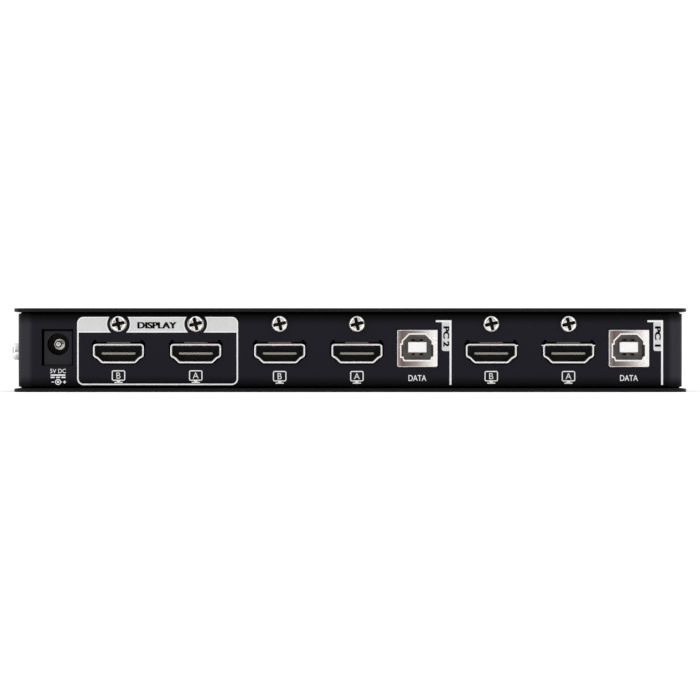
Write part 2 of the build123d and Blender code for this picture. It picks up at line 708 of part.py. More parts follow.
def bottom_plate():
    body = plate(0)
    for x, y in REAR_SCREWS + SIDE_SCREWS + BEZEL_SCREWS:
        body -= rod_z(x, y, SHANK_R + 0.1, -1, PLATE + 1)
        body -= Pos(x, y, PLATE / 2) * Cone(COUNTERSINK_R + 0.1, SHANK_R + 0.1, PLATE)
    return body


def channel_profile(outer, inward):
    """A wall with a flange turned in at its top and bottom; inward is -1 or 1."""
    z0, z1 = WALL_Z0, WALL_Z1
    tall = z1 - z0
    tip = outer + inward * FLANGE
    full = Pos((outer + tip) / 2, (z0 + z1) / 2) * Rectangle(FLANGE, tall)
    full = fillet([v for v in full.vertices() if abs(v.X - outer) < 1e-6], BEND_R)
    inside = outer + inward * WALL
    hollow_w = FLANGE - WALL
    hollow = Pos(inside + inward * hollow_w / 2, (z0 + z1) / 2)
    hollow = hollow * Rectangle(hollow_w, tall - 2 * WALL)
    hollow = fillet([v for v in hollow.vertices() if abs(v.X - inside) < 1e-6], BEND_R - WALL)
    return full - hollow


def corner_wall(side):
    """An upright corner, turned forward from the rear wall to meet the side wall."""
    ring = RectangleRounded(2 * SIDE_X, 2 * REAR_Y, CORNER_R)
    ring -= RectangleRounded(2 * (SIDE_X - WALL), 2 * (REAR_Y - WALL), CORNER_R - WALL)
    low, high = WALL_Z0 + RELIEF, WALL_Z1 - RELIEF
    wall = Pos(0, 0, low) * extrude(ring, amount=high - low)
    near, far = (SIDE_X - CORNER_R) * side, (SIDE_X + 1) * side
    return wall & block(min(near, far), max(near, far), SIDE_WALL_REAR_Y, REAR_Y + 1, 0, HEIGHT)


def rear_wall():
    """Folded sheet with the sockets' holes, its two flanges and its two rounded ends."""
    wall = slab_x(channel_profile(REAR_Y, -1), CORNER_R - SIDE_X, SIDE_X - CORNER_R)
    for side in (-1, 1):
        wall += corner_wall(side)
    for x, y in REAR_SCREWS:
        wall -= rod_z(x, y, SCREW_HOLE_R, 0, PLATE + WALL + 1)
    y0, y1 = REAR_Y - WALL - 1, REAR_Y + 1
    for x in VIDEO_X.values():
        wall -= Pos(x, 0, 0) * video_cutout()
    gap = 0.25
    half = DATA_HALF + gap
    for x in DATA_X.values():
        wall -= block(x - half, x + half, y0, y1, DATA_Z0 - gap, DATA_Z1 + gap)
    near, far = POWER_X - POWER_HALF - 0.2, POWER_X + POWER_HALF + 0.6
    low, high = BOARD_Z - 0.3, BOARD_Z + POWER_TALL + 0.4
    return wall - block(near, far, y0, y1, low, high)


def side_walls():
    """The two side sheets, each with its two flanges."""
    walls = []
    for side in (-1, 1):
        wall = slab_y(channel_profile(side * SIDE_X, -side), SIDE_WALL_FRONT_Y, SIDE_WALL_REAR_Y)
        for x, y in SIDE_SCREWS:
            wall -= rod_z(x, y, SCREW_HOLE_R, 0, PLATE + WALL + 1)
        wall -= rod_x(GROUND_Y, GROUND_Z, SHANK_R + 0.1, SIDE_X - 5, SIDE_X + 1)
        walls.append(wall)
    return walls


def video_cutout():
    """Hole in the rear wall round a video socket, with drilled top corners, and its screw hole."""
    gap = 0.35
    half = VIDEO_HALF + VIDEO_LIP + gap
    top = VIDEO_TOP_Z + VIDEO_LIP + 0.5
    square_top = Pos(0, top - 1.0) * Rectangle(2 * half, 2.0)
    hole = video_outline(VIDEO_LIP + gap) + square_top
    for x in (-NOTCH_X, NOTCH_X):
        hole += Pos(x, top + NOTCH_UP) * Circle(NOTCH_R)
    hole += Pos(0, LOCK_SCREW_Z) * Circle(SHANK_R + 0.2)
    return slab_y(hole, REAR_Y - WALL - 1, REAR_Y + 1)


def front_bezel():
    """Moulded front that wraps a little way round both sides, with two screw bosses."""
    outer = RectangleRounded(2 * SIDE_X, 2 * REAR_Y, CORNER_R)
    inner = Rectangle(2 * (SIDE_X - BEZEL_SIDE), 2 * (REAR_Y - BEZEL))
    low, high = WALL_Z0 + BEZEL_GAP, WALL_Z1 - BEZEL_GAP
    bezel = Pos(0, 0, low) * extrude(outer - inner, amount=high - low)
    bezel &= block(-WIDTH, WIDTH, FRONT_Y - 1, FRONT_Y + BEZEL_RETURN, 0, HEIGHT)
    for x, y in BEZEL_SCREWS:
        bezel += block(x - 3.5, x + 3.5, BEZEL_BACK_Y - 0.1, y + 3, low, BOARD_Z - BOARD - 0.4)
        bezel -= rod_z(x, y, SCREW_HOLE_R, 0, 5.6)
    y0, y1 = FRONT_Y - 1, BEZEL_BACK_Y + 0.01
    host_middle = (HOST_Z0 + HOST_Z1) / 2
    for x in HOST_X.values():
        hole = RectangleRounded(2 * HOST_HALF + 0.5, HOST_Z1 - HOST_Z0 + 0.5, 0.6)
        bezel -= slab_y(Pos(x, host_middle) * hole, y0, y1)
    bezel -= rod_y(AUDIO_X, AUDIO_Z, AUDIO_NOSE_R + 0.2, y0, y1)
    return bezel - slab_y(panel_outline(0), y0, y1)


def panel_outline(grow):
    """The button panel's window, moved out all round."""
    wide, tall = PANEL_WIDE + 2 * grow, PANEL_TALL + 2 * grow
    return Pos(PANEL_X, PANEL_Z) * RectangleRounded(wide, tall, PANEL_CORNER_R)


def button_panel():
    """Insert that carries the button holes and lamp windows, with a rim behind the bezel."""
    panel = slab_y(panel_outline(-PANEL_GAP), FRONT_Y, BEZEL_BACK_Y)
    rim = panel_outline(PANEL_LEDGE) - panel_outline(PANEL_LEDGE - PANEL_RIM)
    panel += slab_y(rim, BEZEL_BACK_Y, BEZEL_BACK_Y + PANEL_RIM_LONG)
    y0, y1 = FRONT_Y - 1, BEZEL_BACK_Y + 0.01
    for x in BUTTON_X.values():
        cap_hole = RectangleRounded(
            BUTTON_WIDE + 2 * BUTTON_GAP, BUTTON_TALL + 2 * BUTTON_GAP, BUTTON_CORNER_R + BUTTON_GAP
        )
        panel -= slab_y(Pos(x, BUTTON_Z) * cap_hole, y0, y1)
        half_w, half_h = LAMP_WIDE / 2 + LAMP_GAP, LAMP_TALL / 2 + LAMP_GAP
        panel -= block(x - half_w, x + half_w, y0, y1, LAMP_Z - half_h, LAMP_Z + half_h)
    return panel


# ================================================================ board and what stands on it
def slot_round(leg, x):
    """A slot through the board, a little larger than a leg at that X."""
    box = leg.bounding_box()
    low, high = box.min, box.max
    return block(
        x + low.X - LEG_GAP,
        x + high.X + LEG_GAP,
        low.Y - LEG_GAP,
        high.Y + LEG_GAP,
        BOARD_Z - BOARD - 1,
        BOARD_Z + 1,
    )


def circuit_board(pin, spring, contacts):
    board = block(-BOARD_X, BOARD_X, BOARD_FRONT_Y, BOARD_REAR_Y, BOARD_Z - BOARD, BOARD_Z)
    for x, y in STANDOFFS:
        board -= rod_z(x, y, SHANK_R + 0.2, 0, HEIGHT)
    under = block(-WIDTH, WIDTH, -DEPTH, DEPTH, 0, BOARD_Z)
    slots = [(leg, x) for x in VIDEO_X.values() for leg in video_legs()]
    slots += [(leg, x) for x in DATA_X.values() for leg in data_legs()]
    slots += [(leg & under, x) for x in DATA_X.values() for leg in contacts]
    slots += [(leg, x) for x in HOST_X.values() for leg in host_legs()]
    slots += [(pin & under, POWER_X), (spring & under, POWER_X)]
    for leg, x in slots:
        board -= slot_round(leg, x)
    return board


def standoffs():
    """Hexagonal spacers pressed into the bottom plate."""
    tall = BOARD_Z - BOARD - PLATE
    hexagon = RegularPolygon(2.9, 6) - Circle(SCREW_HOLE_R)
    return [Pos(x, y, PLATE) * extrude(hexagon, amount=tall) for x, y in STANDOFFS]


SWITCH_CHIPS = [(-32.0, 10.0), (40.0, 10.0)]
CHIP_TALL = 1.2


def flat_chip(x, y, side):
    z1 = BOARD_Z + CHIP_TALL
    chip = block(x - side / 2, x + side / 2, y - side / 2, y + side / 2, BOARD_Z, z1)
    return chamfer(edges_at(chip, "Z", z1), 0.2)


def leaded_chip(x, y, side, leads):
    """Chip with gull-wing leads along all four sides."""
    pitch = (side - 2.0) / (leads - 1)
    edge, thick = side / 2, 0.15
    knee, toe = edge + 0.4, edge + 1.0
    high = BOARD_Z + 0.5
    profile = polygon(
        [
            (edge - 0.2, high),
            (knee - thick, high),
            (knee - thick, BOARD_Z),
            (toe, BOARD_Z),
            (toe, BOARD_Z + thick),
            (knee, BOARD_Z + thick),
            (knee, high + thick),
            (edge - 0.2, high + thick),
        ]
    )
    rows = [(i - (leads - 1) / 2) * pitch for i in range(leads)]
    legs = [slab_y(profile, along - 0.15, along + 0.15) for along in rows]
    chip = flat_chip(0, 0, side) + [Rot(0, 0, turn) * leg for turn in (0, 90, 180, 270) for leg in legs]
    return Pos(x, y, 0) * chip


def heat_sinks():
    """A finned block on each video chip."""
    z0 = BOARD_Z + CHIP_TALL
    base, tall, side, fins, fin = 1.2, 6.0, 16.0, 6, 1.0
    sinks = []
    for x, y in SWITCH_CHIPS:
        sink = block(x - side / 2, x + side / 2, y - side / 2, y + side / 2, z0, z0 + base)
        for i in range(fins):
            fx = x - side / 2 + i * (side - fin) / (fins - 1)
            sink += block(fx, fx + fin, y - side / 2, y + side / 2, z0 + base - 0.1, z0 + tall)
        sinks.append(sink)
    return sinks


def crystals():
    can = Pos(0, 0, BOARD_Z) * extrude(SlotOverall(11.0, 4.6), amount=3.4)
    can = fillet(edges_at(can, "Z", BOARD_Z + 3.4), 0.5)
    return [Pos(x, y, 0) * can for x, y in ((-6.0, -14.0), (-58.0, 12.0))]


def capacitors():
    """Aluminium cans on square plastic bases."""
    cans = []
    for x, y in ((74.0, 22.0), (66.0, 22.0), (22.0, -22.0), (-40.0, -18.0)):
        base = block(x - 3.3, x + 3.3, y - 3.3, y + 3.3, BOARD_Z, BOARD_Z + 0.9)
        can = rod_z(x, y, 3.15, BOARD_Z + 0.8, BOARD_Z + 5.8)
        cans.append(base + fillet(edges_at(can, "Z", BOARD_Z + 5.8), 0.4))
    return cans


# ================================================================ write every node
def nodes():
    made = {
        "top_cover": plate(HEIGHT - PLATE),
        "bottom_plate": bottom_plate(),
        "rear_wall": rear_wall(),
        "side_walls": side_walls(),
        "front_bezel": front_bezel(),
        "button_panel": button_panel(),
    }
    contacts = video_contacts()
    shell, body = video_shell(), video_body()
    for name, x in VIDEO_X.items():
        made[f"{name}_port_shell"] = Pos(x, 0, 0) * shell
        made[f"{name}_port_body"] = Pos(x, 0, 0) * body
        made[f"{name}_port_contacts"] = moved(contacts, x)
    data_pins = data_contacts()
    shell, body = data_shell(), data_body(data_pins)
    for name, x in DATA_X.items():
        made[f"{name}_port_shell"] = Pos(x, 0, 0) * shell
        made[f"{name}_port_body"] = Pos(x, 0, 0) * body
        made[f"{name}_port_contacts"] = moved(data_pins, x)
    contacts = host_contacts()
    shell, body = host_shell(), host_body(contacts)
    for name, x in HOST_X.items():
        made[f"{name}_port_shell"] = Pos(x, 0, 0) * shell
        made[f"{name}_port_body"] = Pos(x, 0, 0) * body
        made[f"{name}_port_contacts"] = moved(contacts, x)
    pin, spring = power_pin(), power_spring()
    made["power_socket_pin"] = Pos(POWER_X, 0, 0) * pin
    made["power_socket_spring"] = Pos(POWER_X, 0, 0) * spring
    made["power_socket_housing"] = Pos(POWER_X, 0, 0) * power_housing(pin, spring)
    contacts = audio_contacts()
    made["sound_socket_housing"] = Pos(AUDIO_X, 0, 0) * audio_housing(contacts)
    made["sound_socket_contacts"] = moved(contacts, AUDIO_X)
    for name, x in BUTTON_X.items():
        made[f"select_button_{name}"] = button(x)
        made[f"switch_plunger_{name}"] = plunger(x)
        made[f"switch_body_{name}"] = switch_body(x)
        made[f"switch_dome_{name}"] = switch_dome(x)
    made["light_pipe"] = light_pipe()
    made["status_lamps"] = status_lamps()
    made["circuit_board"] = circuit_board(pin, spring, data_pins)
    made["chips"] = [flat_chip(x, y, 14.0) for x, y in SWITCH_CHIPS]
    made["chips"] += [leaded_chip(-20.0, -26.0, 10.0, 11), leaded_chip(4.0, -26.0, 7.0, 8)]
    made["heat_sinks"] = heat_sinks()
    made["crystals_and_capacitors"] = crystals() + capacitors()
    made["board_standoffs"] = standoffs()
    made["board_screws"] = board_screws()
    made["case_screws"] = case_screws()
    made["lock_screws"] = lock_screws()
    made["ground_screw"] = ground_screw()
    return made


os.makedirs("parts", exist_ok=True)
for node, shape in nodes().items():
    if isinstance(shape, list):
        shape = Compound(children=[Solid(s.solid().wrapped) for s in shape])
    export_step(shape, f"parts/{node}.step")
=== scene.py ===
"""Finishes, printed marks, stage, light and camera for a two-computer, two-monitor KVM switch."""

import json
import math

import bmesh
import bpy
from mathutils import Matrix, Vector


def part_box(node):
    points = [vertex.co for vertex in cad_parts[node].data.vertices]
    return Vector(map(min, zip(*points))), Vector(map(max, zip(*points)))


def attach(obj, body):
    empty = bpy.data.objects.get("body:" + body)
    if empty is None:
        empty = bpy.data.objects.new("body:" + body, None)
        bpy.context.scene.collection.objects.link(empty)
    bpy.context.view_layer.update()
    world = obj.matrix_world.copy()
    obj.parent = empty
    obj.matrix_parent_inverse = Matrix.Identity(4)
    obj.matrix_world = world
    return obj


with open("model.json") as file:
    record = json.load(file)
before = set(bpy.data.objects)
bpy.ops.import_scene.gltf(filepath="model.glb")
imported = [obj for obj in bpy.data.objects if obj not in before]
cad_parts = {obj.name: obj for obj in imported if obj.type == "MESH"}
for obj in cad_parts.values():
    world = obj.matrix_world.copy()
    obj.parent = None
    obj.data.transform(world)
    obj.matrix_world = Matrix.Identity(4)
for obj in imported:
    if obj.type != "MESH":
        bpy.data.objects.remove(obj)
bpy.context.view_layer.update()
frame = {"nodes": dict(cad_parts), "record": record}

MM = 0.001
CASE = "case"

# ---------------------------------------------------------------- places read from the frame
CASE_LOW, CASE_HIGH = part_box("bottom_plate")[0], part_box("top_cover")[1]
WIDTH = (CASE_HIGH.x - CASE_LOW.x) / MM
HEIGHT = (CASE_HIGH.z - CASE_LOW.z) / MM
REAR_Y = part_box("rear_wall")[1].y / MM
FRONT_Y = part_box("front_bezel")[0].y / MM
MIDDLE_Z = HEIGHT / 2

MONITOR_GROUPS = ("monitor_b", "monitor_a")
VIDEO_GROUPS = (*MONITOR_GROUPS, "pc2_video_b", "pc2_video_a", "pc1_video_b", "pc1_video_a")
DATA_GROUPS = ("pc2_data", "pc1_data")


def middle_x(node):
    low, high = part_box(node)
    return (low.x + high.x) / 2 / MM


def across(node):
    """How far right a node's middle is, seen from behind, in mm."""
    return -middle_x(node)


# ================================================================ materials
WALL_SHADE = (0.0119, 0.0111, 0.0160)
# colour of the painted highlight down the upright corners
CORNER_PAINTED_HIGHLIGHT = (0.0290, 0.0290, 0.0360)
CORNER_X = 95.2  # where the upright corners turn, in mm
CORNER_BLEND = 0.7  # half the width over which the wall's colour turns into the painted corner highlight
PLATE_PAINTED_SHADE_REACH = 3.7  # how far from a plate the painted shade darkens the walls


def scaled(color, factor):
    return tuple(factor * c for c in color)


class Finish:
    """A material under construction. Every texture is placed by object coordinates, in metres."""

    def __init__(self, name, color, roughness, metallic=0.0, specular=0.5):
        self.material = bpy.data.materials.new(name)
        self.material.use_nodes = True
        self.tree = self.material.node_tree
        self.shader = self.tree.nodes["Principled BSDF"]
        self.set("Base Color", (*color, 1.0))
        self.set("Roughness", roughness)
        self.set("Metallic", metallic)
        self.set("Specular IOR Level", specular)
        self.place = self.add("ShaderNodeTexCoord").outputs["Object"]

    def set(self, socket, value):
        self.shader.inputs[socket].default_value = value

    def add(self, kind, **settings):
        node = self.tree.nodes.new(kind)
        for name, value in settings.items():
            setattr(node, name, value)
        return node

    def join(self, output, entry):
        self.tree.links.new(output, entry)

    def stretched(self, x, y, z):
        """Coordinates squeezed by these factors, so that a texture runs along one direction."""
        mapping = self.add("ShaderNodeMapping")
        mapping.inputs["Scale"].default_value = (x, y, z)
        self.join(self.place, mapping.inputs["Vector"])
        return mapping.outputs["Vector"]

    def noise(self, size_mm, detail=3.0, rough=0.5, place=None):
        """Noise whose lumps are about size_mm across."""
        node = self.add("ShaderNodeTexNoise")
        node.inputs["Scale"].default_value = 1.0 / (size_mm * MM)
        node.inputs["Detail"].default_value = detail
        node.inputs["Roughness"].default_value = rough
        self.join(place or self.place, node.inputs["Vector"])
        return node.outputs["Fac"]

    def spread(self, factor, low, high, start=0.3, end=0.7):
        """A number that runs from low to high as factor runs from start to end."""
        node = self.add("ShaderNodeMapRange")
        node.inputs["From Min"].default_value = start
        node.inputs["From Max"].default_value = end
        node.inputs["To Min"].default_value = low
        node.inputs["To Max"].default_value = high
        self.join(factor, node.inputs["Value"])
        return node.outputs["Result"]

    def ramp(self, factor, *stops):
        """A colour picked along (position, colour) stops."""
        node = self.add("ShaderNodeValToRGB")
        elements = node.color_ramp.elements
        while len(elements) < len(stops):
            elements.new(0.5)
        for element, (position, color) in zip(elements, stops):
            element.position = position
            element.color = (*color, 1.0)
        self.join(factor, node.inputs["Fac"])
        return node.outputs["Color"]

    def blend(self, factor, low, high):
        """Low where factor is 0 and high where it is 1; each is a colour or an output."""
        node = self.add("ShaderNodeMix", data_type="RGBA")
        self.join(factor, node.inputs["Factor"])
        for value, entry in ((low, node.inputs[6]), (high, node.inputs[7])):
            if isinstance(value, tuple):
                entry.default_value = (*value, 1.0)
            else:
                self.join(value, entry)
        return node.outputs[2]

    def axis(self, name, place=None):
        node = self.add("ShaderNodeSeparateXYZ")
        self.join(place or self.place, node.inputs["Vector"])
        return node.outputs[name]

    def calc(self, operation, *entries):
        """A Math node; each entry is a number or an output."""
        node = self.add("ShaderNodeMath", operation=operation)
        for value, entry in zip(entries, node.inputs):
            if isinstance(value, float):
                entry.default_value = value
            else:
                self.join(value, entry)
        return node.outputs["Value"]

    def facing_y(self):
        """1 on a surface that faces straight along Y, either way, and 0 on one edge-on to it."""
        normal = self.add("ShaderNodeTexCoord").outputs["Normal"]
        return self.calc("ABSOLUTE", self.axis("Y", normal))

    def roughness(self, output):
        self.join(output, self.shader.inputs["Roughness"])

    def color(self, output):
        self.join(output, self.shader.inputs["Base Color"])

    def bump(self, output, depth_mm, strength=1.0):
        node = self.add("ShaderNodeBump")
        node.inputs["Distance"].default_value = depth_mm * MM
        node.inputs["Strength"].default_value = strength
        self.join(output, node.inputs["Height"])
        last = self.shader.inputs["Normal"]
        if last.is_linked:
            self.join(last.links[0].from_socket, node.inputs["Normal"])
        self.join(node.outputs["Normal"], last)


def case_paint():
    """Fine satin powder coat: near black, a little blue, with a faint orange peel."""
    f = Finish("case_paint", (0.0078, 0.0072, 0.0092), 0.46, specular=0.11)
    peel = f.noise(0.9, detail=2.0)
    grain = f.noise(0.12, detail=1.0)
    f.bump(peel, 0.010, 0.3)
    f.bump(grain, 0.004, 0.3)
    cloud = f.noise(9.0, detail=5.0)
    f.roughness(f.spread(cloud, 0.44, 0.49))
    f.color(f.ramp(cloud, (0.3, (0.0073, 0.0067, 0.0086)), (0.7, (0.0082, 0.0076, 0.0097))))
    return f.material


def wall_paint():
    """The same coat on the walls, with painted shade darkening it towards the two plates and a painted
    highlight making it paler down the upright corners.
    """
    f = Finish("wall_paint", WALL_SHADE, 0.56, specular=0.06)
    f.bump(f.noise(0.9, detail=2.0), 0.010, 0.3)
    f.bump(f.noise(0.12, detail=1.0), 0.004, 0.3)
    f.roughness(f.spread(f.noise(9.0, detail=5.0), 0.53, 0.59))
    # painted shade: the colour darkens to black towards the top and bottom plates
    height = f.axis("Z")
    low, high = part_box("rear_wall")
    reach = PLATE_PAINTED_SHADE_REACH * MM
    from_low = f.spread(height, 0.0, 1.0, low.z, low.z + reach)
    from_high = f.spread(height, 1.0, 0.0, high.z - reach, high.z)
    nearest = f.calc("MINIMUM", from_low, from_high)
    plate_painted_shade = ((0.0, 0.0), (0.33, 0.10), (0.5, 0.30), (0.65, 0.52), (0.82, 0.78), (1.0, 1.0))
    wall = f.ramp(nearest, *((at, scaled(WALL_SHADE, k)) for at, k in plate_painted_shade))
    # painted highlight: the corner colour, darkened towards the plates like the wall
    corner = f.ramp(nearest, *((at, scaled(CORNER_PAINTED_HIGHLIGHT, k)) for at, k in plate_painted_shade))
    start, end = (CORNER_X - CORNER_BLEND) * MM, (CORNER_X + CORNER_BLEND) * MM
    f.color(f.blend(f.spread(f.calc("ABSOLUTE", f.axis("X")), 0.0, 1.0, start, end), wall, corner))
    return f.material


def bezel_plastic():
    f = Finish("bezel_plastic", (0.011, 0.011, 0.013), 0.5, specular=0.35)
    grain = f.noise(0.22, detail=4.0, rough=0.6)
    f.bump(grain, 0.012, 0.5)
    cloud = f.noise(18.0)
    f.roughness(f.spread(cloud, 0.46, 0.56))
    f.color(f.ramp(cloud, (0.3, (0.0098, 0.0098, 0.0116)), (0.7, (0.0125, 0.0125, 0.0145))))
    return f.material


def button_plastic():
    f = Finish("button_plastic", (0.030, 0.030, 0.034), 0.36, specular=0.45)
    f.bump(f.noise(0.3, detail=2.0), 0.003, 0.4)
    cloud = f.noise(5.0)
    f.roughness(f.spread(cloud, 0.32, 0.42))
    f.color(f.ramp(cloud, (0.3, (0.027, 0.027, 0.031)), (0.7, (0.033, 0.033, 0.037))))
    return f.material


def socket_metal():
    """Nickel plate on drawn steel: warm, with the faint lines of the press tool."""
    f = Finish("socket_metal", (0.78, 0.75, 0.70), 0.24, metallic=1.0)
    lines = f.noise(0.5, detail=2.0, place=f.stretched(1.0, 0.06, 1.0))
    f.bump(lines, 0.004, 0.3)
    cloud = f.noise(2.6, detail=4.0)
    f.roughness(f.spread(cloud, 0.18, 0.34))
    f.color(f.ramp(cloud, (0.3, (0.66, 0.62, 0.57)), (0.65, (0.86, 0.84, 0.80))))
    return f.material


def video_metal():
    """Bright flared lip, with painted shade on its faces edge-on to Y; painted shade also makes the
    skin and the ear behind the wall dull and brown.
    """
    f = Finish("socket_metal_video", (0.90, 0.88, 0.85), 0.24, metallic=1.0)
    lines = f.noise(0.5, detail=2.0, place=f.stretched(1.0, 0.06, 1.0))
    f.bump(lines, 0.002, 0.2)
    f.roughness(f.spread(f.noise(2.6, detail=4.0), 0.2, 0.3))
    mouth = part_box("monitor_a_port_shell")[1].y
    # painted shade: dull brown deeper than the mouth, behind the wall
    depth = f.spread(f.axis("Y"), 0.0, 1.0, mouth - 1.2 * MM, mouth - 0.6 * MM)
    # painted shade on faces edge-on to Y; faces turned along Y stay bright
    flat = f.spread(f.facing_y(), 0.0, 1.0, 0.55, 0.9)
    lip = f.blend(flat, (0.42, 0.40, 0.38), (0.97, 0.96, 0.94))
    f.color(f.blend(depth, (0.17, 0.145, 0.13), lip))
    return f.material


def data_metal(node):
    """Square socket: a face whose painted reflection runs from brown to cream, a painted highlight on
    the pale edges of its mouth, and painted shade that makes it dull brown inside.
    """
    f = Finish(f"socket_metal_{node}", (0.78, 0.75, 0.70), 0.26, metallic=1.0)
    lines = f.noise(0.5, detail=2.0, place=f.stretched(1.0, 0.06, 1.0))
    f.bump(lines, 0.003, 0.25)
    f.roughness(f.spread(f.noise(2.6, detail=4.0), 0.2, 0.32))
    low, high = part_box(node)
    # painted reflection: the face runs from brown to cream across its width
    side = f.spread(f.axis("X"), 1.0, 0.0, low.x, high.x)
    face = f.ramp(
        side,
        (0.0, (0.46, 0.39, 0.34)),
        (0.12, (0.20, 0.15, 0.13)),
        (0.45, (0.40, 0.34, 0.30)),
        (0.9, (0.95, 0.91, 0.86)),
    )
    # painted highlight: pale edges of the mouth, on faces turned away from Y
    rim_painted_highlight = f.spread(f.facing_y(), 1.0, 0.0, 0.80, 0.97)
    front = f.spread(f.axis("Y"), 0.0, 1.0, high.y - 0.75 * MM, high.y - 0.6 * MM)
    rim = f.calc("MULTIPLY", rim_painted_highlight, front)
    # painted shade: dull brown deeper than the front
    inside = f.blend(front, (0.15, 0.11, 0.09), face)
    f.color(f.blend(rim, inside, (0.96, 0.95, 0.94)))
    # the metallic weight drops across the face and on the rim, so the painted reflection and highlight
    # read pale
    cream = f.spread(side, 1.0, 0.3, 0.35, 0.9)
    f.join(f.blend(rim, cream, (0.05, 0.05, 0.05)), f.shader.inputs["Metallic"])
    return f.material


def screw_metal(name="screw_metal", dark=None):
    """Nickel-plated screw: bright and lightly peened; where a recess mask is given, painted shade marks
    its driver recess dark.
    """
    f = Finish(name, (0.74, 0.69, 0.64), 0.24, metallic=1.0)
    dents = f.noise(1.1, detail=2.0)
    f.bump(dents, 0.05, 0.5)
    f.roughness(f.spread(f.noise(0.5), 0.18, 0.3))
    head = f.ramp(dents, (0.32, (0.62, 0.57, 0.53)), (0.62, (0.96, 0.94, 0.91)))
    # painted shade: dark where the recess mask is 1
    f.color(head if dark is None else f.blend(dark(f), head, (0.035, 0.028, 0.024)))
    return f.material


def in_lock_recess(f):
    """1 inside the driver recess of a lock screw and 0 elsewhere."""
    gaps = []
    for name in VIDEO_GROUPS:
        off = f.calc("SUBTRACT", f.axis("X"), middle_x(f"{name}_port_shell") * MM)
        gaps.append(f.calc("ABSOLUTE", off))
    gap = gaps[0]
    for other in gaps[1:]:
        gap = f.calc("MINIMUM", gap, other)
    low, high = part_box("lock_screws")
    across_head = f.add("ShaderNodeCombineXYZ")
    f.join(gap, across_head.inputs["X"])
    f.join(f.calc("SUBTRACT", f.axis("Z"), (low.z + high.z) / 2), across_head.inputs["Y"])
    length = f.add("ShaderNodeVectorMath", operation="LENGTH")
    f.join(across_head.outputs["Vector"], length.inputs[0])
    near = f.spread(length.outputs["Value"], 1.0, 0.0, 1.90 * MM, 2.05 * MM)
    sunk = f.spread(f.axis("Y"), 1.0, 0.0, high.y - 0.45 * MM, high.y - 0.2 * MM)
    return f.calc("MULTIPLY", near, sunk)


def plain_metal(name, color, roughness, grain_mm=0.4):
    f = Finish(name, color, roughness, metallic=1.0)
    grain = f.noise(grain_mm, detail=3.0)
    f.bump(grain, 0.004, 0.4)
    f.roughness(f.spread(grain, roughness * 0.8, roughness * 1.3))
    f.color(f.ramp(grain, (0.3, scaled(color, 0.86)), (0.7, color)))
    return f.material


def moulded(name, color, roughness, specular=0.4, grain_mm=0.25, depth_mm=0.005):
    f = Finish(name, color, roughness, specular=specular)
    grain = f.noise(grain_mm, detail=3.0)
    f.bump(grain, depth_mm, 0.5)
    f.roughness(f.spread(grain, roughness * 0.9, roughness * 1.12))
    f.color(f.ramp(grain, (0.3, scaled(color, 0.93)), (0.7, color)))
    return f.material


def video_tongue_plastic():
    """Dark moulding whose tongue has painted shade, blacker deeper in, and a painted highlight that
    makes its very tip pale.
    """
    f = Finish("video_tongue_plastic", (0.02, 0.02, 0.022), 0.5, specular=0.3)
    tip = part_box("monitor_a_port_body")[1].y
    # painted shade deeper in the socket and a painted highlight at the very tip
    depth = f.spread(f.axis("Y"), 0.0, 1.0, tip - 1.2 * MM, tip - 0.05 * MM)
    stops = ((0.0, (0.005, 0.005, 0.009)), (0.8, (0.03, 0.03, 0.035)), (1.0, (0.27, 0.27, 0.255)))
    f.color(f.ramp(depth, *stops))
    f.bump(f.noise(0.2), 0.004, 0.4)
    f.roughness(f.spread(f.noise(0.6), 0.42, 0.58))
    return f.material


def board_laminate():
    """Black solder mask over faint copper tracks."""
    f = Finish("board_laminate", (0.008, 0.012, 0.011), 0.28, specular=0.4)
    tracks = f.add("ShaderNodeTexBrick", offset=0.37, squash=2.0)
    tracks.inputs["Scale"].default_value = 260.0
    tracks.inputs["Mortar Size"].default_value = 0.05
    tracks.inputs["Color1"].default_value = (0.0070, 0.0105, 0.0095, 1)
    tracks.inputs["Color2"].default_value = (0.0085, 0.0125, 0.0115, 1)
    tracks.inputs["Mortar"].default_value = (0.0150, 0.0210, 0.0190, 1)
    f.join(f.place, tracks.inputs["Vector"])
    f.color(tracks.outputs["Color"])
    f.bump(tracks.outputs["Fac"], 0.02, 0.5)
    f.roughness(f.spread(f.noise(3.0), 0.22, 0.36))
    return f.material


def clear_plastic():
    f = Finish("clear_plastic", (0.93, 0.95, 0.96), 0.12, specular=0.5)
    f.set("Transmission Weight", 0.75)
    f.set("IOR", 1.49)
    haze = f.noise(1.6, detail=1.0)
    f.roughness(f.spread(haze, 0.30, 0.38))
    return f.material


def ink(name, shade):
    """Screen-printed ink, slightly uneven in its cover."""
    f = Finish(name, shade, 0.62, specular=0.2)
    cover = f.noise(0.5, detail=4.0, rough=0.6)
    f.color(f.ramp(cover, (0.3, scaled(shade, 0.93)), (0.6, shade)))
    f.roughness(f.spread(cover, 0.55, 0.72))
    f.bump(cover, 0.004, 0.4)
    return f.material


